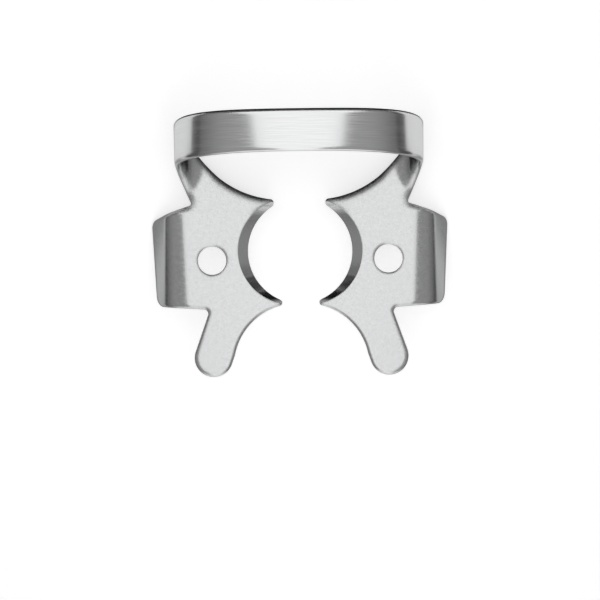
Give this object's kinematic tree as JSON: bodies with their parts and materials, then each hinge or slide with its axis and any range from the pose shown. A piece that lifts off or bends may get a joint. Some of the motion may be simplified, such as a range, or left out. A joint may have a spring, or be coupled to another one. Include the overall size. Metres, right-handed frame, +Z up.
{
  "type": "rubber dam clamp",
  "caption": "Winged molar clamp of bent spring steel: pronged jaws with forceps holes and front fingers grip a tooth, joined by a high bow, to hold a rubber dam.",
  "frame": {"origin": "centre of the bounding box, on the surface that the clamp lies on", "axes": "+X across the jaws, +Y towards the bow, +Z up, as it lies at rest on its wings and heels"},
  "size_m": [0.0302, 0.03, 0.0141],
  "materials": {
    "spring_steel": "satin jaws and wings, brushed bow, ground bite"
  },
  "bodies": {
    "root": {"clamp": "spring_steel"}
  },
  "joints": []
}
